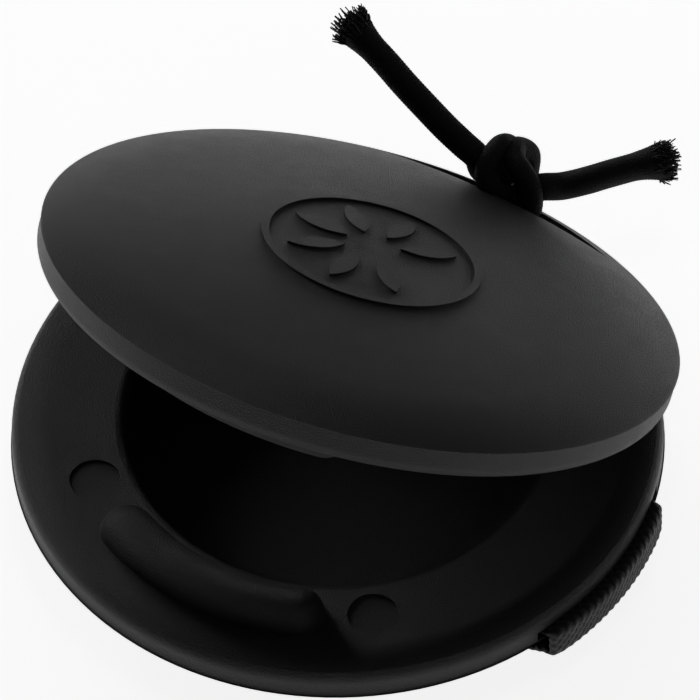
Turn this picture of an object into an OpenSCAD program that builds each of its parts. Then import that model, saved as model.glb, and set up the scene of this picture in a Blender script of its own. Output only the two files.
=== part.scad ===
// Pair of round finger castanets: two moulded shells, an elastic finger strap and a knotted hinge cord.
// Millimetres. +Z up, +Y toward the hinge, X along the hinge axis. The origin is the middle of the flat
// on which the pair rests: the squashed middle of the finger strap, under the lower shell.

/* [Shell] */
// Radius of each shell at its parting line
shell_r = 28.5; // [27:0.5:32]
// Height of the side band, from the parting line to the land that faces the other shell
band_h = 3.2; // [2.8:0.1:4]
// Radius of the nearly flat crown of the dome
crown_r = 120; // [90:5:200]
// Radius of the rounder shoulder of the dome
shoulder_r = 25; // [20:1:40]
// Distance from the centre at which the shoulder takes over from the crown
shoulder_start = 22.5; // [20:0.5:24]
// Radius at which the flat land starts to roll over to the side band
land_r = 25.4; // [25:0.1:26]
// Drop of the rolled rim from the land to the side band
rim_drop = 0.9; // [0.6:0.1:1.2]
// Radius of the mouth of the bowl
bowl_r = 18.4; // [16:0.2:19]
// Thickness of the wall between the bowl and the crown
wall = 1.9; // [1.5:0.1:3]

/* [Striking bead] */
// Radius of the bead's middle line
bead_line_r = 22.1; // [21:0.1:22.2]
// Width of the bead
bead_w = 4.8; // [4:0.2:5]
// Height of the bead above the land
bead_h = 2.4; // [1:0.1:2.4]
// Half of the angle that the bead spans, between the centres of its round ends
bead_half_deg = 23; // [15:1:28]

/* [Hinge] */
// Angle between the two shells as they stand
open_deg = 28; // [10:1:36]
// Distance of the hinge axis behind the centre
hinge_y = 22.1; // [21:0.1:23]
// Slope of each rim behind the hinge axis
heel_deg = 20; // [16:1:22]
// Gap between the two lands along the hinge axis
hinge_gap = 0.1; // [0.06:0.02:0.2]
// Distance of the cord slot's straight lip behind the centre
slot_lip_y = 24.2; // [23.8:0.1:24.4]
// Radius of the cord slot's curved outer side
slot_arc_r = 26.9; // [26.8:0.1:27.2]
// Diameter of the round elastic cord
cord_d = 2.4; // [2:0.1:2.5]

/* [Finger strap] */
// Thickness of the elastic band
strap_t = 1.1; // [0.8:0.1:1.2]
// Front edge of the band
strap_y0 = -9.4; // [-10:0.1:-7]
// Rear edge of the band
strap_y1 = 8.1; // [6:0.1:9]
// Amount by which the band is squashed flat where the pair stands on it
rest_squash = 0.3; // [0.2:0.05:0.4]

/* [Hidden] */
$fn = 96;
eps = 0.02;
fit_gap = 0.05;

// Dome, as a height above its pole at a distance r from the centre, with g of thickness added outside it
crown_slope = asin(shoulder_start / crown_r);
crown_rise = crown_r * (1 - cos(crown_slope));
shoulder_x = shoulder_start - shoulder_r * sin(crown_slope);
shoulder_z = crown_rise + shoulder_r * cos(crown_slope);
function dome_rise(r, g = 0) = r < shoulder_start
    ? crown_r - sqrt(pow(crown_r + g, 2) - r * r)
    : shoulder_z - sqrt(pow(shoulder_r + g, 2) - pow(r - shoulder_x, 2));
dome_h = dome_rise(shell_r);

// Heights of one shell in its own frame: land at 0, dome downwards
part_z = -band_h;
pole_z = part_z - dome_h;
strap_gap = fit_gap;
land_z = strap_t - rest_squash + strap_gap - pole_z;
hinge_z = land_z + hinge_gap / 2;

// Rolled rim: a large arc tangent to the land, then a small one tangent to the band
step_w = 0.1;
band_r = shell_r - step_w;
roll_r = (pow(band_r - land_r, 2) + rim_drop * rim_drop) / (2 * rim_drop);
edge_r = 1.2;
edge_x = band_r - edge_r;
edge_z = -roll_r + sqrt(pow(roll_r - edge_r, 2) - pow(edge_x - land_r, 2));

// Bowl
bowl_floor = pole_z + wall;
bowl_corner_r = 4;
lip_r = 1;

// Striking bead, a slice of a round bar
bead_bar_r = (pow(bead_w / 2, 2) + bead_h * bead_h) / (2 * bead_h);
bead_sink = bead_bar_r - bead_h;

// Marks of the two ejector pins on the land
pin_mark_r = 2.25;
pin_mark_line_r = 22.1;
pin_mark_deg = 40;
pin_mark_deep = 0.12;

// Side slots for the strap: a well up through the dome on each side, with a mouth in the side band on the right
mouth_z0 = part_z + 0.2;
mouth_z1 = part_z + 1.25;
well_r0 = 25.1;
well_r1 = 26.5;
side_slot_y0 = -10;
side_slot_y1 = 9.4;

// Embossed ornament on the crown: a ring of eight leaves inside a plain ring
ornament_h = 0.22;
ring_r = 9.5;
ring_w = 0.7;
leaf_count = 8;
leaf_line_r = 5.2;
leaf_len = 5.2;
leaf_w = 1.9;

// Strap: how it folds over the bar on the right, and its end sewn back on itself under the shell
fold_r = strap_t / 2;
fold_top = mouth_z1 - 0.1;
fold_z = mouth_z1 - fold_r;
tab_r0 = 19.2;
tab_drop = 0.4;
stitch_rows = [21.4, 23.2];
stitch_count = 8;
stitch_len = 1.4;
stitch_d = 0.36;
stitch_margin = 1;

// Hinge cord
cord_r = cord_d / 2;
limb_y = (slot_lip_y + slot_arc_r) / 2;
outer_y = shell_r + cord_r + 0.15;
turn_r = (outer_y - limb_y) / 2;
turn_z = part_z - 0.2;
bend_r = 5.4;
// Height, in a shell's own frame, at which the round bend of the limb at y starts
function bend_base(y) = hinge_gap / 2 - (y + bend_r - hinge_y) * tan(open_deg / 2);

// Knot tied over the slot: balls, as centre and radius, that fill the outer shape of its turns
knot_balls = [[[-1.6, 28.2, 11.3], 1.9], [[0.9, 28.5, 11.2], 2], [[-0.3, 28.6, 12], 2], [[-0.9, 29.6, 13], 1.9]];

// Routes of the two free tails, from the knot outwards, with the upper shell open as it stands
long_route = [[-3.3, 28.5, 12.3], [-4.8, 28.6, 13], [-6.8, 28.8, 13.9], [-9.1, 29.1, 15.1], [-11.3, 29.4, 16.3],
              [-13.5, 29.8, 17.5], [-15.6, 30.1, 18.6], [-17.2, 30.3, 19.5]];
short_route = [[2.6, 29.6, 10.7], [4, 30.8, 10.5], [5.6, 32.2, 10.8], [7.3, 33.9, 11.2], [9.1, 35.6, 11.6],
               [10.6, 36.9, 11.8]];
tail_sides = 8;
end_d = 3.9;
end_len = 2;

// Tube swept along a route
function unit(v) = v / norm(v);
function tangent(p, i) = unit(p[min(i + 1, len(p) - 1)] - p[max(i - 1, 0)]);
function ring(p, i, r, n) = let (t = tangent(p, i), a = unit(cross(t, [0, 1, 0])), b = cross(t, a))
    [for (k = [0 : n - 1]) p[i] + r * (cos(360 * k / n) * a + sin(360 * k / n) * b)];
module tube(p, r, n) {
    m = len(p);
    points = [for (i = [0 : m - 1]) each ring(p, i, r, n)];
    sides = [for (i = [0 : m - 2]) for (k = [0 : n - 1]) let (q = (k + 1) % n)
        each [[i * n + k, (i + 1) * n + k, (i + 1) * n + q], [i * n + k, (i + 1) * n + q, i * n + q]]];
    first = [for (k = [1 : n - 2]) [0, k, k + 1]];
    last = [for (k = [1 : n - 2]) [(m - 1) * n, (m - 1) * n + k + 1, (m - 1) * n + k]];
    polyhedron(points, concat(sides, first, last));
}

// Turns a part of the closed pair open about the hinge axis
module opened() {
    translate([0, hinge_y, hinge_z])
        rotate([-open_deg, 0, 0])
            translate([0, -hinge_y, -hinge_z])
                children();
}
module lower_place() {
    translate([0, 0, land_z]) children();
}
module upper_place() {
    opened() translate([0, 0, land_z + hinge_gap]) mirror([0, 0, 1]) children();
}

// Region above the dome, grown outwards by g
module above_dome_2d(g) {
    intersection() {
        translate([0, pole_z + crown_r]) circle(r = crown_r + g, $fn = 720);
        translate([0, pole_z - 10]) square([shoulder_start, 40]);
    }
    intersection() {
        translate([shoulder_x, pole_z + shoulder_z]) circle(r = shoulder_r + g, $fn = 720);
        translate([shoulder_start - eps, pole_z - 10]) square([shell_r, 40]);
    }
}
module rim_2d() {
    translate([0, pole_z - 1]) square([band_r, edge_z - pole_z + 1]);
    translate([edge_x, edge_z]) circle(r = edge_r);
    intersection() {
        translate([land_r, -roll_r]) circle(r = roll_r, $fn = 360);
        translate([land_r, edge_z]) square([edge_x + edge_r * 0.5 - land_r, 5]);
    }
    translate([0, pole_z - 1]) square([land_r, 1 - pole_z]);
}
module shell_section() {
    intersection() {
        above_dome_2d(0);
        union() {
            rim_2d();
            translate([0, pole_z - 1]) square([shell_r, part_z - pole_z + 1]);
        }
    }
}
module bowl_2d() {
    translate([0, bowl_floor]) square([bowl_r - bowl_corner_r, 20]);
    translate([0, bowl_floor + bowl_corner_r]) square([bowl_r, 20]);
    intersection() {
        translate([bowl_r - bowl_corner_r, bowl_floor + bowl_corner_r]) circle(r = bowl_corner_r);
        translate([0, bowl_floor]) square([bowl_r, bowl_corner_r + eps]);
    }
    difference() {
        translate([bowl_r - eps, -lip_r]) square([lip_r + eps, lip_r + 1]);
        translate([bowl_r + lip_r, -lip_r]) circle(r = lip_r);
    }
}
module bead() {
    rotate([0, 0, -90 - bead_half_deg])
        rotate_extrude(angle = 2 * bead_half_deg)
            intersection() {
                translate([bead_line_r, -bead_sink]) circle(r = bead_bar_r);
                translate([bead_line_r - bead_w, -0.5]) square([2 * bead_w, bead_h + 1]);
            }
    for (s = [-1, 1])
        intersection() {
            rotate([0, 0, -90 + s * bead_half_deg])
                translate([bead_line_r, 0, -bead_sink]) sphere(r = bead_bar_r);
            translate([-shell_r, -shell_r, -0.5]) cube([2 * shell_r, 2 * shell_r, bead_h + 1]);
        }
}
module cord_slot() {
    translate([0, 0, pole_z - 5])
        linear_extrude(height = 30)
            intersection() {
                circle(r = slot_arc_r, $fn = 180);
                translate([-shell_r, slot_lip_y]) square([2 * shell_r, 10]);
            }
}
module heel() {
    translate([-40, hinge_y, 0])
        rotate([-heel_deg, 0, 0])
            cube([80, 20, 10]);
}
module moulded_shell() {
    difference() {
        rotate_extrude() shell_section();
        rotate_extrude() bowl_2d();
        cord_slot();
        heel();
        for (s = [-1, 1])
            rotate([0, 0, -90 + s * pin_mark_deg])
                translate([pin_mark_line_r, 0, -pin_mark_deep]) cylinder(r = pin_mark_r, h = 1);
    }
    bead();
}
module side_slots() {
    intersection() {
        union() {
            rotate_extrude() square_from(well_r0, pole_z, well_r1, mouth_z1);
            right_half() rotate_extrude() square_from(well_r0, mouth_z0, well_r0 + 10, mouth_z1);
        }
        translate([-50, side_slot_y0, -50]) cube([100, side_slot_y1 - side_slot_y0, 100]);
    }
}
module right_half() {
    intersection() {
        children();
        translate([0, -50, -50]) cube([100, 100, 100]);
    }
}
module square_from(x0, y0, x1, y1) {
    translate([x0, y0]) square([x1 - x0, y1 - y0]);
}
module ornament() {
    intersection() {
        rotate_extrude()
            difference() {
                above_dome_2d(ornament_h);
                translate([0, pole_z + 2]) square([50, 50]);
            }
        translate([0, 0, pole_z - 1])
            linear_extrude(height = 2.4) {
                difference() {
                    circle(r = ring_r + ring_w / 2);
                    circle(r = ring_r - ring_w / 2);
                }
                for (k = [0 : leaf_count - 1])
                    rotate([0, 0, 360 * k / leaf_count]) translate([leaf_line_r, 0]) leaf_2d();
            }
    }
}
// A leaf is the lens that two equal circles share
module leaf_2d() {
    r = (pow(leaf_len / 2, 2) + pow(leaf_w / 2, 2)) / leaf_w;
    intersection() {
        translate([0, r - leaf_w / 2]) circle(r = r);
        translate([0, leaf_w / 2 - r]) circle(r = r);
    }
}

// The shell that rests on the hand, with the two side slots
module lower_shell() {
    color([0.05, 0.05, 0.055]) lower_place() difference() {
        moulded_shell();
        side_slots();
    }
}
// The shell that is struck, with the ornament
module upper_shell() {
    color([0.06, 0.06, 0.065]) upper_place() {
        moulded_shell();
        ornament();
    }
}

// Section of the strap under the dome and up the well
module strap_under_2d() {
    difference() {
        intersection() {
            above_dome_2d(strap_gap + strap_t);
            square_from(0, pole_z - 5, well_r1 - fit_gap, 30);
        }
        above_dome_2d(strap_gap);
        square_from(0, part_z, 60, 30);
    }
    square_from(well_r1 - strap_t - fit_gap, part_z - 1, well_r1 - fit_gap, fold_top);
}
// Section of the strap from the mouth, over the bar and back under the layer below the dome
module strap_over_2d() {
    square_from(well_r1 - strap_t - fit_gap, mouth_z0 + fit_gap, shell_r + fold_r, fold_top);
    square_from(shell_r + fit_gap, part_z - strap_t, shell_r + 2 * fold_r, fold_z);
    intersection() {
        translate([shell_r + fold_r, fold_z]) circle(r = fold_r);
        square_from(shell_r, fold_z, shell_r + 3 * fold_r, mouth_z1);
    }
    difference() {
        intersection() {
            above_dome_2d(2 * strap_gap + 2 * strap_t);
            square_from(tab_r0, pole_z - 5, shell_r + strap_t, part_z - tab_drop);
        }
        above_dome_2d(2 * strap_gap + strap_t);
        square_from(0, part_z - 1, shell_r + fit_gap, part_z);
    }
}
module finger_strap() {
    color([0.03, 0.03, 0.03]) intersection() {
        lower_place() {
            rotate_extrude() strap_under_2d();
            right_half() rotate_extrude() strap_over_2d();
        }
        translate([-50, strap_y0, 0]) cube([100, strap_y1 - strap_y0, 50]);
    }
}
// Two rows of lock stitches across the sewn end of the strap
module strap_stitching() {
    pitch = (strap_y1 - strap_y0 - 2 * stitch_margin) / stitch_count;
    color([0.12, 0.12, 0.12])
        for (x = stitch_rows)
            for (k = [0 : stitch_count - 1]) {
                y = strap_y0 + stitch_margin + (k + 0.5) * pitch;
                z = land_z + pole_z + dome_rise(norm([x, y]), 2 * (strap_gap + strap_t));
                translate([x, y - stitch_len / 2, z - stitch_d / 2 - eps])
                    rotate([-90, 0, 0]) cylinder(d = stitch_d, h = stitch_len, $fn = 16);
            }
}

// Half turn of cord round one rim bar, in a shell's own frame
module cord_turn() {
    translate([0, limb_y + turn_r, turn_z])
        rotate([0, 90, 0])
            rotate([0, 0, -90])
                rotate_extrude(angle = 180)
                    translate([turn_r, 0]) circle(d = cord_d, $fn = 32);
    for (y = [limb_y, outer_y])
        translate([0, y, turn_z]) cylinder(d = cord_d, h = bend_base(y) - turn_z, $fn = 32);
}
module hinge_cord_under() {
    color([0.04, 0.04, 0.04]) lower_place() cord_turn();
}
module hinge_cord_over() {
    color([0.04, 0.04, 0.04]) difference() {
        upper_place() cord_turn();
        knot_solid();
    }
}
// Limb of the cord loop at y: a round bend that joins the turn in one shell to the turn in the other
module limb(y) {
    translate([0, y + bend_r, land_z + bend_base(y)])
        rotate([0, 90, 0])
            rotate([0, 0, -90 - open_deg])
                rotate_extrude(angle = open_deg)
                    translate([bend_r, 0]) circle(d = cord_d, $fn = 32);
}
module hinge_cord_inner_limb() {
    color([0.04, 0.04, 0.04]) limb(limb_y);
}
module hinge_cord_outer_limb() {
    color([0.04, 0.04, 0.04]) limb(outer_y);
}

module knot_solid() {
    for (ball = knot_balls)
        translate(ball[0]) sphere(r = ball[1], $fn = 48);
}
module cord_knot() {
    color([0.04, 0.04, 0.04]) knot_solid();
}
module cord_tail_long() {
    color([0.04, 0.04, 0.04]) tube(long_route, cord_r, tail_sides);
}
module cord_tail_short() {
    color([0.04, 0.04, 0.04]) tube(short_route, cord_r, tail_sides);
}
// The frayed end of a tail spreads from the cord into a brush
module frayed_end(route) {
    last = route[len(route) - 1];
    way = unit(last - route[len(route) - 2]);
    translate(last + eps * way)
        rotate([0, acos(way[2]), atan2(way[1], way[0])])
            cylinder(d1 = cord_d + 0.2, d2 = end_d, h = end_len, $fn = 32);
}
module cord_end_long() {
    color([0.04, 0.04, 0.04]) frayed_end(long_route);
}
module cord_end_short() {
    color([0.04, 0.04, 0.04]) frayed_end(short_route);
}

lower_shell();
upper_shell();
finger_strap();
strap_stitching();
hinge_cord_under();
hinge_cord_inner_limb();
hinge_cord_outer_limb();
hinge_cord_over();
cord_knot();
cord_tail_long();
cord_tail_short();
cord_end_long();
cord_end_short();
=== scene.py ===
# A pair of round moulded finger castanets, standing open: two black plastic shells, the elastic cord that
# hinges them and is knotted over the upper one, and the woven elastic strap for the finger.
import math

import bmesh
import bpy
import numpy as np
from mathutils import Matrix, Vector


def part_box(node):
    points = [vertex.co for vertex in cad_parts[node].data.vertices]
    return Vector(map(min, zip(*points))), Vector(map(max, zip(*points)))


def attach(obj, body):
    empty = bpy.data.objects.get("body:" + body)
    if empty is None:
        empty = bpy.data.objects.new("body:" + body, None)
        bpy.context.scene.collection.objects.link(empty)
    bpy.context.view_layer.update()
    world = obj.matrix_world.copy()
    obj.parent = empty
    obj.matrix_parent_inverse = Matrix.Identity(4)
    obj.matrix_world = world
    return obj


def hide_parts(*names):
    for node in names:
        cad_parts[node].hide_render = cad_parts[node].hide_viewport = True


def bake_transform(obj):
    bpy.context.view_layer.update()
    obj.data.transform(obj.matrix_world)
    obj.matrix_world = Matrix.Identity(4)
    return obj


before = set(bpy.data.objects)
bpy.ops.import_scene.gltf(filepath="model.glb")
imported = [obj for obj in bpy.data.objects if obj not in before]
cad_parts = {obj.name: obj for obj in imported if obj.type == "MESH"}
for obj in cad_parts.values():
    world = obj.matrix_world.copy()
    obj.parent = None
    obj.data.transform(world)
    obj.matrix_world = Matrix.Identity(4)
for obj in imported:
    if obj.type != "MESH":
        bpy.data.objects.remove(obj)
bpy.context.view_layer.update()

# ---------------------------------------------------------------- viewpoint
# A long lens, high over the front right of the pair, as a catalogue picture of a small thing is taken.
azimuth, elevation, roll = math.radians(32.67), math.radians(50.8), math.radians(-0.9)
aim = Vector((-0.00228, 0.00575, 0.0099))
distance = 1.5
level = Vector((math.cos(azimuth), math.sin(azimuth), 0))
ahead = Vector((math.sin(azimuth), -math.cos(azimuth), 0))
toward = ahead * math.cos(elevation) + Vector((0, 0, math.sin(elevation)))
upright = toward.cross(level)
camera = bpy.data.objects.new("camera", bpy.data.cameras.new("camera"))
bpy.context.scene.collection.objects.link(camera)
camera.data.lens = 885.2
camera.data.sensor_width = 36
camera.data.clip_start, camera.data.clip_end = 0.05, 20
right = level * math.cos(roll) + upright * math.sin(roll)
turned = Matrix((right, toward.cross(right), toward)).transposed().to_4x4()
camera.matrix_world = Matrix.Translation(aim + distance * toward) @ turned
bpy.context.scene.camera = camera

# ---------------------------------------------------------------- cord ends and knot
# Round elastic cord, 2.4 mm thick: a braided polyester sheath over latex strands. Both ends come up round the
# rim of the upper shell, one through its slot and one behind it, are knotted there and stick out as two tails.
mm = 0.001
cord_r = 1.2 * mm
yarns_round = 24
points_per_yarn = 4
cord_step = 0.1 * mm


def smooth_line(points, step):
    """A line through the points: between two of them it is the cubic whose slope at each end is half the
    difference of that end's two neighbours, and the whole is then resampled at equal steps of length."""
    p = np.asarray(points, float)
    p = np.vstack([2 * p[0] - p[1], p, 2 * p[-1] - p[-2]])
    t = np.linspace(0, 1, 25)[:-1, None]
    a, b, c, d = (p[i:len(p) - 3 + i, None, :] for i in range(4))
    q = 0.5 * (2 * b + (c - a) * t + (2 * a - 5 * b + 4 * c - d) * t**2 + (3 * b - a - 3 * c + d) * t**3)
    q = np.vstack([q.reshape(-1, 3), p[-2]])
    s = np.concatenate([[0], np.cumsum(np.linalg.norm(np.diff(q, axis=0), axis=1))])
    even = np.linspace(0, s[-1], int(round(s[-1] / step)) + 1)
    return np.stack([np.interp(even, s, q[:, k]) for k in range(3)], axis=1), even


def frames_along(line):
    """Tangents of a line, and two unit normals at each of its points that turn with it without spinning: each
    first normal is the one before it with its part along the new tangent taken away."""
    t = np.gradient(line, axis=0)
    t /= np.linalg.norm(t, axis=1)[:, None]
    n = np.cross(t[0], [0.3, 0.2, 1.0])
    first = []
    for here in t:
        n = n - here * (n @ here)
        n = n / np.linalg.norm(n)
        first.append(n)
    first = np.array(first)
    return t, first, np.cross(t, first)


def braid_height(a, b):
    """Height from 0 to 1 of yarns that cross over and under each other. a and b count the yarns of the two
    directions. A yarn is the round back of |sin|, and the product of the sines says which one is on top."""
    sa, sb = np.sin(np.pi * a), np.sin(np.pi * b)
    over = sa * sb
    return np.maximum(np.abs(sa) ** 0.7 * (0.55 + 0.45 * over), np.abs(sb) ** 0.7 * (0.55 - 0.45 * over))


def grid_mesh(name, grid, u=None, v=None):
    """A mesh of quads on a grid of points, closed round its second direction, with a fan over each open end.
    The UV map, if there is one, has u evenly round each ring and v along the rings."""
    rows, cols = grid.shape[:2]
    i, j = np.meshgrid(np.arange(rows - 1), np.arange(cols), indexing="ij")
    k = (j + 1) % cols
    near, far = i * cols, (i + 1) * cols
    quads = np.stack([near + j, near + k, far + k, far + j], axis=-1).reshape(-1, 4)
    base = rows * cols
    last = base - cols
    around = np.arange(cols)
    after = (around + 1) % cols
    points = np.vstack([grid.reshape(-1, 3), grid[0].mean(axis=0), grid[-1].mean(axis=0)])
    faces = quads.tolist()
    faces += np.stack([np.full(cols, base), after, around], axis=1).tolist()
    faces += np.stack([np.full(cols, base + 1), last + around, last + after], axis=1).tolist()
    mesh = bpy.data.meshes.new(name)
    mesh.from_pydata(points, [], faces)
    if u is not None:
        data = np.zeros((len(mesh.loops), 2))
        u_after = u[j] + u[1] - u[0]
        data[:quads.size, 0] = np.stack([u[j], u_after, u_after, u[j]], axis=-1).reshape(-1)
        data[:quads.size, 1] = np.stack([v[i], v[i], v[i + 1], v[i + 1]], axis=-1).reshape(-1)
        mesh.uv_layers.new(name="along").data.foreach_set("uv", data.reshape(-1))
    mesh.shade_smooth()
    return mesh


def outward(mesh):
    """Turns every face of a closed mesh outwards."""
    bm = bmesh.new()
    bm.from_mesh(mesh)
    bmesh.ops.recalc_face_normals(bm, faces=bm.faces)
    bm.to_mesh(mesh)
    bm.free()
    return mesh


def place(name, mesh, material, body=None):
    """Links a finished mesh as a piece, with its material, and lets it ride on a body of the model."""
    piece = bpy.data.objects.new(name, mesh)
    bpy.context.scene.collection.objects.link(piece)
    piece.data.materials.append(material)
    if body:
        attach(piece, body)
    return piece


def braided_cord(name, line, along, radius):
    """A braided cord: circles of the given radii round a line, raised by the yarns of the braid. Yarn number
    yarns_round * turn + length / pitch winds one way round it, and the one with a minus sign the other way."""
    t, n, m = frames_along(line)
    count = yarns_round * points_per_yarn
    phi = np.arange(count) / count
    pitch = 2 * math.pi * cord_r / yarns_round
    a = yarns_round * phi[None, :] + along[:, None] / pitch
    b = yarns_round * phi[None, :] - along[:, None] / pitch
    r = radius[:, None] * (0.96 + 0.09 * braid_height(a, b))
    turn = 2 * math.pi * phi
    ring = np.cos(turn)[None, :, None] * n[:, None, :] + np.sin(turn)[None, :, None] * m[:, None, :]
    return outward(grid_mesh(name, line[:, None, :] + r[..., None] * ring, turn * cord_r, along))


def new_material(name):
    """A node material with its tree and shader, and a short way to add a node: a setting that starts with in_
    is the value of the input of that name, and any other is a property of the node."""
    material = bpy.data.materials.new(name)
    material.use_nodes = True
    tree = material.node_tree
    shader = tree.nodes["Principled BSDF"]

    def node(kind, **settings):
        made = tree.nodes.new(kind)
        for key, value in settings.items():
            if key.startswith("in_"):
                made.inputs[key[3:].replace("_", " ")].default_value = value
            else:
                setattr(made, key, value)
        return made

    return material, tree, shader, node


def grain_group():
    """Node group: two sizes of noise on Object coordinates, as one value for bumps and one for tints."""
    group = bpy.data.node_groups.new("grain", "ShaderNodeTree")
    group.interface.new_socket("Size", in_out="INPUT", socket_type="NodeSocketFloat").default_value = 1000
    group.interface.new_socket("Fine", in_out="OUTPUT", socket_type="NodeSocketFloat")
    group.interface.new_socket("Broad", in_out="OUTPUT", socket_type="NodeSocketFloat")
    entry, leave = group.nodes.new("NodeGroupInput"), group.nodes.new("NodeGroupOutput")
    where = group.nodes.new("ShaderNodeTexCoord")
    for socket, share, detail in (("Fine", 1.0, 3), ("Broad", 0.05, 2)):
        scaled = group.nodes.new("ShaderNodeMath")
        scaled.operation = "MULTIPLY"
        scaled.inputs[1].default_value = share
        noise = group.nodes.new("ShaderNodeTexNoise")
        noise.inputs["Detail"].default_value = detail
        noise.inputs["Roughness"].default_value = 0.55
        group.links.new(entry.outputs["Size"], scaled.inputs[0])
        group.links.new(scaled.outputs[0], noise.inputs["Scale"])
        group.links.new(where.outputs["Object"], noise.inputs["Vector"])
        group.links.new(noise.outputs["Fac"], leave.inputs[socket])
    return group


grain = grain_group()


def yarn_material(name, dark, light, size, depth, rough, sheen):
    """Black yarn: noise tints it and breaks its surface into fibres."""
    material, tree, shader, node = new_material(name)
    fibres = node("ShaderNodeGroup", node_tree=grain)
    fibres.inputs["Size"].default_value = size
    tint = node("ShaderNodeValToRGB")
    tint.color_ramp.elements[0].position, tint.color_ramp.elements[1].position = 0.42, 0.68
    tint.color_ramp.elements[0].color, tint.color_ramp.elements[1].color = (*dark, 1), (*light, 1)
    bump = node("ShaderNodeBump", in_Distance=depth, in_Strength=1.0)
    gloss = node("ShaderNodeMapRange", in_To_Min=rough - 0.12, in_To_Max=rough + 0.15)
    tree.links.new(fibres.outputs["Fine"], tint.inputs["Fac"])
    tree.links.new(fibres.outputs["Fine"], bump.inputs["Height"])
    tree.links.new(fibres.outputs["Broad"], gloss.inputs["Value"])
    tree.links.new(tint.outputs["Color"], shader.inputs["Base Color"])
    tree.links.new(gloss.outputs["Result"], shader.inputs["Roughness"])
    tree.links.new(bump.outputs["Normal"], shader.inputs["Normal"])
    shader.inputs["Specular IOR Level"].default_value = 0.3
    shader.inputs["Sheen Weight"].default_value = sheen
    shader.inputs["Sheen Roughness"].default_value = 0.4
    return material


cord_material = yarn_material(
    "braided_cord", (0.0004, 0.0004, 0.0004), (0.006, 0.006, 0.0065), 7000, 0.00018, 0.55, 0.01)

long_turns = [(0.0, 27.1, 10.3), (-0.8, 26.7, 11.3), (-1.6, 27.3, 12.3), (-1.8, 28.6, 13.1), (-1.8, 30.2, 13.0),
              (-1.6, 31.3, 11.7), (-1.1, 30.8, 10.2), (-1.4, 29.2, 10.1), (-2.6, 28.3, 11.1)]
long_route = [(-3.3, 28.5, 12.3), (-4.8, 28.6, 13), (-6.8, 28.8, 13.9), (-9.1, 29.1, 15.1), (-11.3, 29.4, 16.3),
              (-13.5, 29.8, 17.5), (-15.6, 30.1, 18.6), (-17.2, 30.3, 19.5)]
short_turns = [(0.0, 30.48, 7.45), (0.0, 30.9, 8.2), (0.0, 31.5, 9.2), (-0.3, 32.2, 10.8), (-0.9, 31.1, 12.3),
               (-0.2, 29.6, 12.7), (1.1, 28.9, 12.4), (2.3, 28.3, 11.5), (2.8, 27.4, 10.0), (1.6, 27.1, 8.9),
               (0.6, 28.8, 8.7), (1.4, 29.6, 9.3)]
short_route = [(2.6, 29.6, 10.7), (4, 30.8, 10.5), (5.6, 32.2, 10.8), (7.3, 33.9, 11.2), (9.1, 35.6, 11.6),
               (10.6, 36.9, 11.8)]


def tail_radius(along, knot_length):
    """Radius along a strand: 0.84 of the full one where it is pulled through the knot, then full by the
    logistic curve 1 / (1 + exp(-x)), and 0.42 more by a power of 1.6 over the last 2.8 mm, at the cut end."""
    full = 1 / (1 + np.exp(-(along - knot_length) / (0.9 * mm)))
    opened = np.clip((along - along[-1] + 2.8 * mm) / (2.8 * mm), 0, 1)
    return cord_r * (0.84 + 0.16 * full + 0.42 * opened**1.6)


tails = {}
for name, turns, route in (("long", long_turns, long_route), ("short", short_turns, short_route)):
    line, along = smooth_line(np.array(turns + route) * mm, cord_step)
    knot_length = smooth_line(np.array(turns) * mm, cord_step)[1][-1]
    mesh = braided_cord("cord_" + name, line, along, tail_radius(along, knot_length))
    piece = place("cord_" + name, mesh, cord_material, "upper")
    tails[name] = (piece, line, along[-1])

# ---------------------------------------------------------------- frayed ends
# Where the cord was cut, the sheath has opened into a brush of crimped filaments round the latex strands.
fray_material = yarn_material(
    "frayed_yarn", (0.0008, 0.0008, 0.0008), (0.008, 0.008, 0.0085), 7000, 0.00002, 0.5, 0.05)
filaments = 420


def many_threads(name, lines, radius, sides):
    """Thin closed tubes along an array of lines, all worked out at once: rings of points about each line."""
    count, steps = lines.shape[:2]
    t = np.gradient(lines, axis=1)
    t /= np.linalg.norm(t, axis=2)[..., None]
    n = np.cross(t, [0.31, 0.52, 0.8])
    n /= np.linalg.norm(n, axis=2)[..., None]
    m = np.cross(t, n)
    turn = 2 * math.pi * np.arange(sides) / sides
    ring = np.cos(turn)[:, None] * n[:, :, None, :] + np.sin(turn)[:, None] * m[:, :, None, :]
    points = lines[:, :, None, :] + radius[:, None, None, None] * ring
    f, i, j = np.meshgrid(np.arange(count), np.arange(steps - 1), np.arange(sides), indexing="ij")
    k = (j + 1) % sides
    base = (f * steps + i) * sides
    quads = np.stack([base + j, base + k, base + sides + k, base + sides + j], axis=-1).reshape(-1, 4).tolist()
    ends = np.arange(sides)
    starts = (np.arange(count) * steps * sides)[:, None] + ends[::-1]
    stops = (np.arange(count) * steps * sides + (steps - 1) * sides)[:, None] + ends
    mesh = bpy.data.meshes.new(name)
    mesh.from_pydata(points.reshape(-1, 3), [], quads + starts.tolist() + stops.tolist())
    mesh.shade_smooth()
    return outward(mesh)


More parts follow.
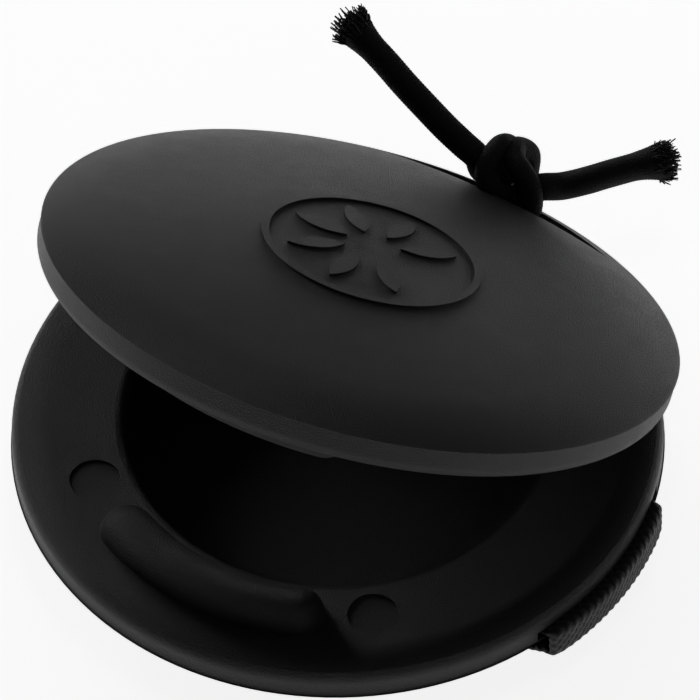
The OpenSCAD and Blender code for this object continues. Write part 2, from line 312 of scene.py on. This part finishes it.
for name, seed in (("long", 4), ("short", 9)):
    piece, line, length = tails[name]
    rng = np.random.default_rng(seed)
    tip = line[-1]
    way = line[-1] - line[-12]
    way /= np.linalg.norm(way)
    side = np.cross(way, [0, 0.3, 1])
    side /= np.linalg.norm(side)
    other = np.cross(way, side)
    turn = rng.uniform(0, 2 * math.pi, filaments)
    out = np.sqrt(rng.uniform(0, 1, filaments))
    spread = side * np.cos(turn)[:, None] + other * np.sin(turn)[:, None]
    s = np.linspace(0, 1, 8)[None, :, None]
    reach = rng.uniform(0.7 * mm, 2.1 * mm, filaments)[:, None, None] * (1.25 - 0.45 * out[:, None, None])
    flare = 0.4 * mm * out[:, None, None] + rng.normal(0, 0.18 * mm, (filaments, 1, 1))
    curl = rng.normal(0, 1, (filaments, 1, 3)) * 0.22 * mm
    start = tip - way * 0.9 * mm + spread * (1.5 * mm * out)[:, None]
    lines = (start[:, None, :] + way * reach * s * 1.1 + spread[:, None, :] * flare * s**1.3
             + curl * np.sin(2.6 * s + rng.uniform(0, 6, (filaments, 1, 1))) * s)
    thickness = rng.uniform(0.04 * mm, 0.09 * mm, filaments)
    brush_mesh = many_threads("frayed_end_" + name, lines, thickness, 4)
    brush = place("frayed_end_" + name, brush_mesh, fray_material, "upper")
    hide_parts("cord_end_" + name)
    if name == "long":
        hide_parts("cord_tail_long", "cord_knot")
    else:
        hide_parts("cord_tail_short")

# ---------------------------------------------------------------- hinge loop
# The same cord between its two tails: down through the slot of the upper shell, down through that of the lower
# one, round the lower rim and up behind both rims. It is stretched, and it bends where the shells hinge.
hinge_y, hinge_z = 22.1, 8.184
loop_points = [(0, 27.5, 11.1), (0, 27.1, 10.3), (0, 26.6, 9.3), (0, 26.18, 8.52), (0, 25.75, 7.4),
               (0, 25.57, 6.4), (0, 25.55, 5.6), (0, 25.58, 4.7), (0, 25.9, 3.5), (0, 26.7, 2.75),
               (0, 27.7, 2.5), (0, 28.7, 2.75), (0, 29.5, 3.5), (0, 29.82, 4.7), (0, 29.88, 5.6),
               (0, 30.05, 6.5), (0, 30.48, 7.45), (0, 30.9, 8.2), (0.1, 31.3, 8.9)]
line, along = smooth_line(np.array(loop_points) * mm, cord_step)
stretched_r = np.full(len(along), 0.97 * cord_r)
loop = place("hinge_cord", braided_cord("hinge_cord", line, along, stretched_r), cord_material)
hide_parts("hinge_cord_under", "hinge_cord_inner_limb", "hinge_cord_outer_limb", "hinge_cord_over")
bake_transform(loop)

# ---------------------------------------------------------------- shells
# Two injection-moulded ABS shells in black, with a finely grained satin skin that is smoother and darker in a
# narrow line round the parting edge.
shell_r = 28.5


def shell_material(name, centre, tilt):
    """Black ABS: a fine moulded grain, faint broad tints, and a smoother, darker line round the parting edge.
    centre and tilt carry Object coordinates into the shell's own frame, so that the edge lies at one radius."""
    material, tree, shader, node = new_material(name)
    where = node("ShaderNodeTexCoord")
    own = node("ShaderNodeMapping", vector_type="TEXTURE")
    own.inputs["Location"].default_value = centre
    own.inputs["Rotation"].default_value = (tilt, 0, 0)
    flat = node("ShaderNodeVectorMath", operation="MULTIPLY")
    flat.inputs[1].default_value = (1, 1, 0)
    radius = node("ShaderNodeVectorMath", operation="LENGTH")
    edge = node("ShaderNodeMapRange", in_From_Min=(shell_r - 0.25) * mm, in_From_Max=(shell_r - 0.01) * mm)
    skin = node("ShaderNodeGroup", node_tree=grain)
    skin.inputs["Size"].default_value = 9000
    tint = node("ShaderNodeMapRange", in_From_Min=0.35, in_From_Max=0.7, in_To_Min=0.0045, in_To_Max=0.0075)
    colour = node("ShaderNodeCombineColor")
    worn = node("ShaderNodeMix", data_type="RGBA")
    worn.inputs["B"].default_value = (0.002, 0.002, 0.002, 1)
    shine = node("ShaderNodeMapRange", in_To_Min=0.40, in_To_Max=0.52)
    smooth = node("ShaderNodeMath", operation="MULTIPLY_ADD")
    smooth.inputs[1].default_value = -0.12
    bump = node("ShaderNodeBump", in_Distance=0.0003, in_Strength=1.0)
    link = tree.links.new
    link(where.outputs["Object"], own.inputs["Vector"])
    link(own.outputs["Vector"], flat.inputs[0])
    link(flat.outputs["Vector"], radius.inputs[0])
    link(radius.outputs["Value"], edge.inputs["Value"])
    link(skin.outputs["Broad"], tint.inputs["Value"])
    for channel in ("Red", "Green", "Blue"):
        link(tint.outputs["Result"], colour.inputs[channel])
    link(edge.outputs["Result"], worn.inputs["Factor"])
    link(colour.outputs["Color"], worn.inputs["A"])
    link(worn.outputs["Result"], shader.inputs["Base Color"])
    link(skin.outputs["Broad"], shine.inputs["Value"])
    link(edge.outputs["Result"], smooth.inputs[0])
    link(shine.outputs["Result"], smooth.inputs[2])
    link(smooth.outputs["Value"], shader.inputs["Roughness"])
    link(skin.outputs["Fine"], bump.inputs["Height"])
    link(bump.outputs["Normal"], shader.inputs["Normal"])
    return material


open_angle = math.radians(28)
lower_material = shell_material("shell_lower", (0, 0, 0), 0)
up_y = hinge_y - hinge_y * math.cos(open_angle)
up_z = hinge_z + hinge_y * math.sin(open_angle)
upper_material = shell_material("shell_upper", (0, up_y * mm, up_z * mm), -open_angle)
for name, material in (("lower_shell", lower_material), ("upper_shell", upper_material)):
    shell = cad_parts[name]
    shell.data.materials.clear()
    shell.data.materials.append(material)

# ---------------------------------------------------------------- finger strap
# A 17.5 mm flat braided elastic: it lies under the lower shell, ends in a well at the left, and comes up
# through one at the right, where it folds over the narrow bar of the rim and is sewn to itself underneath.
strap_y0, strap_y1, strap_t = -9.4, 8.1, 1.05
strap_w = strap_y1 - strap_y0
crown_r, shoulder_r, shoulder_start = 120.0, 25.0, 22.5
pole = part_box("lower_shell")[0].z / mm
well_r, fold_r, dome_end_r = 25.9, 29.06, 28.3
tab_start_x, tab_drop, dome_gap = 18.6, 1.72, 0.06
rise_z, fold_z = 3.1, 5.62


def dome(r):
    """Height of the underside of the lower shell at a distance r from its axis: a sphere of radius crown_r, and
    past shoulder_start a tangent arc of radius shoulder_r."""
    slope = math.asin(shoulder_start / crown_r)
    x = shoulder_start - shoulder_r * math.sin(slope)
    z = crown_r * (1 - math.cos(slope)) + shoulder_r * math.cos(slope)
    inner = crown_r - np.sqrt(crown_r**2 - np.minimum(r, shoulder_start) ** 2)
    outer = z - np.sqrt(shoulder_r**2 - (np.maximum(r, shoulder_start) - x) ** 2)
    return pole + np.where(r < shoulder_start, inner, outer)


def strap_line(y):
    """Middle line of the strap in the plane at y, from its sewn end on the right to the end in its left well:
    x and z on an even parameter, with sharp corners that are rounded later. It runs out under the dome to the
    bar, up the bar's outside, inwards over it, down its well, under the dome and up the left well."""
    half_w = np.sqrt(well_r**2 - y**2)
    bar = np.sqrt(fold_r**2 - y**2)
    u = np.linspace(0, 1, 400)[:, None]
    tab_x = tab_start_x + (bar - tab_start_x) * u
    tab = (tab_x, dome(np.minimum(np.hypot(tab_x, y), dome_end_r)) - tab_drop)
    rise = (bar + 0 * u[:90], rise_z + (fold_z - rise_z) * u[:90] / u[89])
    inward = (bar + (half_w - bar) * u[:100] / u[99], fold_z + 0 * y * u[:100])
    down = (half_w + 0 * u[:80], fold_z + (dome(well_r) - 0.62 - fold_z) * u[:80] / u[79])
    x = half_w * (1 - 2 * u)
    under_top = dome(np.hypot(x, y)) - dome_gap
    under = (x, (under_top + np.maximum(under_top - strap_t * 1.01, 0.0)) / 2)
    up = (-down[0], down[1][::-1])
    parts = [tab, rise, inward, down, under, up]
    x = np.concatenate([np.broadcast_to(p[0], (len(p[0]), len(y))) for p in parts])
    z = np.concatenate([np.broadcast_to(p[1], (len(p[1]), len(y))) for p in parts])
    return x, z


def even_steps(x, z, step):
    """The same lines resampled at equal shares of their mean length, then smoothed over about 0.9 mm by the
    raised cosine 0.5 - 0.5 cos(2 pi k / n)."""
    s = np.concatenate([[0], np.cumsum(np.hypot(np.diff(x, axis=0), np.diff(z, axis=0)).mean(axis=1))])
    even = np.linspace(0, s[-1], int(s[-1] / step) + 1)
    place_at = np.interp(even, s, np.arange(len(s)))
    low = np.minimum(place_at.astype(int), len(s) - 2)
    f = (place_at - low)[:, None]
    x, z = x[low] * (1 - f) + x[low + 1] * f, z[low] * (1 - f) + z[low + 1] * f
    reach = int(0.9 / step) // 2
    kernel = np.hanning(2 * reach + 3)[1:-1]
    kernel /= kernel.sum()
    for grid in (x, z):
        padded = np.concatenate([2 * grid[:1] - grid[reach:0:-1], grid, 2 * grid[-1:] - grid[-2:-2 - reach:-1]])
        grid[:] = sum(kernel[k] * padded[k:k + len(grid)] for k in range(len(kernel)))
    return x, z, even


# The mesh is fine only near the fold, where the weave also stands up from the surface.
eta = np.linspace(-1, 1, 118)
y = (strap_y0 + strap_y1) / 2 + strap_w / 2 * eta
x, z, run = even_steps(*strap_line(y), 0.05)
fold_run = 13.0
nth = np.arange(len(run))
near_fold = np.abs(run - fold_run) < 6.5
keep = (nth % 12 == 0) | (near_fold & (nth % 3 == 0)) | (nth == nth[-1])
tx, tz = np.gradient(x, axis=0), np.gradient(z, axis=0)
size = np.hypot(tx, tz)
nx, nz = -tz / size, tx / size
x, z, nx, nz, run_kept = x[keep], z[keep], nx[keep], nz[keep], run[keep]

# Under the crown the strap is squashed between the shell and the table. Its edges are round, by a power of 14.
under_top = dome(np.hypot(x, y)) - dome_gap
under_the_crown = (run_kept[:, None] > fold_run + 10) & (np.abs(x) < 22)
squashed = np.where(under_the_crown, np.minimum(strap_t, under_top), strap_t)
half_t = squashed / 2 * (1 - np.abs(eta) ** 14) ** 0.5 * 0.92
cell = 0.62
weave_height = 0.10
window = np.clip((6.2 - np.abs(run_kept - fold_run)) / 1.5, 0, 1)[:, None] * (np.abs(eta) < 0.985)
diagonal = cell * math.sqrt(2)
weave = braid_height((y + run_kept[:, None]) / diagonal, (y - run_kept[:, None]) / diagonal)
lift = half_t + weave_height * (weave - 0.5) * window
level_y = np.broadcast_to(y, x.shape)
top, low = (np.stack([x + nx * up, level_y, z + nz * up], axis=-1) for up in (lift, -lift))
rings = np.concatenate([top, low[:, ::-1][:, 1:-1]], axis=1) * mm
rings[..., 2] = np.maximum(rings[..., 2], 0)
mesh = grid_mesh("strap", rings)
vertex_uv = np.zeros((len(mesh.vertices), 2))
vertex_uv[:-2, 0] = np.tile(np.concatenate([y, y[::-1][1:-1]]), len(rings)) * mm
vertex_uv[:-2, 1] = np.repeat(run_kept, rings.shape[1]) * mm
corners = np.zeros(len(mesh.loops), int)
mesh.loops.foreach_get("vertex_index", corners)
mesh.uv_layers.new(name="along").data.foreach_set("uv", vertex_uv[corners].reshape(-1))
outward(mesh)


def woven_material(name):
    """Flat braid: the yarns cross at 45 degrees on the strap's own UV map, with painted shade darkening the
    colour in the gaps between them.
    """
    material, tree, shader, node = new_material(name)
    where = node("ShaderNodeUVMap", uv_map="along")
    link = tree.links.new

    def math_node(kind, first, second=None, third=None):
        made = node("ShaderNodeMath", operation=kind)
        for socket, value in zip(made.inputs, (first, second, third)):
            if isinstance(value, (int, float)):
                socket.default_value = value
            elif value is not None:
                link(value, socket)
        return made.outputs[0]

    split = node("ShaderNodeSeparateXYZ")
    link(where.outputs["UV"], split.inputs[0])
    scale = math.pi / (diagonal * mm)
    total = math_node("MULTIPLY", math_node("ADD", split.outputs["X"], split.outputs["Y"]), scale)
    minus = math_node("MULTIPLY", math_node("SUBTRACT", split.outputs["X"], split.outputs["Y"]), scale)
    sa, sb = math_node("SINE", total), math_node("SINE", minus)
    over = math_node("MULTIPLY", sa, sb)
    ha = math_node("MULTIPLY", math_node("ABSOLUTE", sa), math_node("MULTIPLY_ADD", over, 0.45, 0.55))
    hb = math_node("MULTIPLY", math_node("ABSOLUTE", sb), math_node("MULTIPLY_ADD", over, -0.45, 0.55))
    height = math_node("MAXIMUM", ha, hb)
    fibres = node("ShaderNodeGroup", node_tree=grain)
    fibres.inputs["Size"].default_value = 9000
    # Painted shade and light: the colour follows the height of the weave, darkest in the gaps between the yarns
    # and lightest on their crests, flecked at random by the fine grain.
    tint = node("ShaderNodeValToRGB")
    gap, crest = tint.color_ramp.elements
    gap.position, gap.color = 0.2, (0.0004, 0.0004, 0.0004, 1)
    crest.position, crest.color = 0.95, (0.008, 0.008, 0.0085, 1)
    relief = math_node("MULTIPLY_ADD", fibres.outputs["Fine"], 0.5, height)
    bump = node("ShaderNodeBump", in_Distance=0.0001, in_Strength=1.0)
    gloss = node("ShaderNodeMapRange", in_To_Min=0.45, in_To_Max=0.7)
    speckle = math_node("MULTIPLY_ADD", fibres.outputs["Fine"], 0.8, 0.5)
    link(math_node("MULTIPLY", height, speckle), tint.inputs["Fac"])
    link(relief, bump.inputs["Height"])
    link(fibres.outputs["Broad"], gloss.inputs["Value"])
    link(tint.outputs["Color"], shader.inputs["Base Color"])
    link(gloss.outputs["Result"], shader.inputs["Roughness"])
    link(bump.outputs["Normal"], shader.inputs["Normal"])
    shader.inputs["Specular IOR Level"].default_value = 0.35
    return material


strap = place("strap", mesh, woven_material("woven_elastic"), "lower")
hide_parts("finger_strap")

# ---------------------------------------------------------------- stitching
# Two rows of lock stitches through both layers of the strap at its sewn end.
thread_material = yarn_material(
    "sewing_thread", (0.001, 0.001, 0.001), (0.008, 0.008, 0.008), 12000, 0.00002, 0.5, 0.02)
stitch_rows, stitches_per_row = [21.4, 23.2], 8
thread_r, stitch_half_length, stitch_dip, edge_margin = 0.17, 0.82, 0.32, 1
pitch = (strap_w - 2 * edge_margin) / stitches_per_row
row, nth = (grid.reshape(-1) for grid in np.meshgrid(stitch_rows, np.arange(stitches_per_row), indexing="ij"))
s = np.linspace(-1, 1, 11)
sy = (strap_y0 + edge_margin + (nth + 0.5) * pitch)[:, None] + s * stitch_half_length
sx = np.broadcast_to(row[:, None], sy.shape)
sz = dome(np.hypot(sx, sy)) - tab_drop - strap_t / 2 - 0.10 + stitch_dip * s**6
lines = np.stack([sx, sy, sz], axis=-1) * mm
thread_mesh = many_threads("strap_stitches", lines, np.full(len(row), thread_r * mm), 10)
thread = place("strap_stitches", thread_mesh, thread_material, "lower")
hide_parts("strap_stitching")

# ---------------------------------------------------------------- floor and light
# A white table that glows a little, as one lit through from below, and four soft lights: high behind, left,
# right and overhead. The room is dark at eye level and pale below it, which the satin plastic mirrors.
floor_mesh = bpy.data.meshes.new("floor")
floor_mesh.from_pydata([(-3, -3, 0), (3, -3, 0), (3, 3, 0), (-3, 3, 0)], [], [(0, 1, 2, 3)])
floor_material, _, shader, _ = new_material("floor_white")
shader.inputs["Base Color"].default_value = (0.85, 0.85, 0.85, 1)
shader.inputs["Roughness"].default_value = 1.0
shader.inputs["Emission Color"].default_value = (1, 1, 1, 1)
shader.inputs["Emission Strength"].default_value = 0.85
floor = place("floor", floor_mesh, floor_material)
floor.visible_glossy = False

world = bpy.data.worlds.new("studio")
bpy.context.scene.world = world
world.use_nodes = True
air = world.node_tree
seen = air.nodes.new("ShaderNodeBackground")
choose = air.nodes.new("ShaderNodeMixShader")
ray = air.nodes.new("ShaderNodeLightPath")
way = air.nodes.new("ShaderNodeTexCoord")
height = air.nodes.new("ShaderNodeSeparateXYZ")
fade = air.nodes.new("ShaderNodeMapRange")
fade.inputs["From Min"].default_value, fade.inputs["From Max"].default_value = 0, -1
glow = air.nodes.new("ShaderNodeValToRGB")
for below in (0.14, 0.38, 0.6):
    glow.color_ramp.elements.new(below)
for stop, brightness in zip(glow.color_ramp.elements, (0.05, 0.05, 1.5, 1.0, 0.6)):
    stop.color = (brightness, brightness, brightness, 1)
room = air.nodes["Background"]
room.inputs["Color"].default_value = (1, 1, 1, 1)
seen.inputs["Color"].default_value = (1, 1, 1, 1)
air.links.new(way.outputs["Generated"], height.inputs[0])
air.links.new(height.outputs["Z"], fade.inputs["Value"])
air.links.new(fade.outputs["Result"], glow.inputs["Fac"])
air.links.new(glow.outputs["Color"], room.inputs["Strength"])
air.links.new(ray.outputs["Is Camera Ray"], choose.inputs[0])
air.links.new(room.outputs[0], choose.inputs[1])
air.links.new(seen.outputs[0], choose.inputs[2])
air.links.new(choose.outputs[0], air.nodes["World Output"].inputs["Surface"])
bpy.context.scene.view_settings.view_transform = "Standard"


def soft_light(name, place_at, size_m, brightness):
    """A square area light that faces the pair. Its power is its brightness times pi times its area."""
    light = bpy.data.lights.new(name, "AREA")
    light.size = size_m
    light.energy = brightness * math.pi * size_m**2
    lamp = bpy.data.objects.new(name, light)
    bpy.context.scene.collection.objects.link(lamp)
    lamp.location = place_at
    lamp.rotation_euler = (Vector((0, 0, 0.01)) - Vector(place_at)).to_track_quat("-Z", "Y").to_euler()


soft_light("back_high", (-0.27, 0.49, 0.58), 0.4, 0.6)
soft_light("left", (-0.85, 0.35, 0.16), 0.4, 4.0)
soft_light("right", (0.75, 0.5, 0.1), 0.4, 0.5)
soft_light("overhead", (0.1, 0.05, 0.85), 0.2, 0.9)
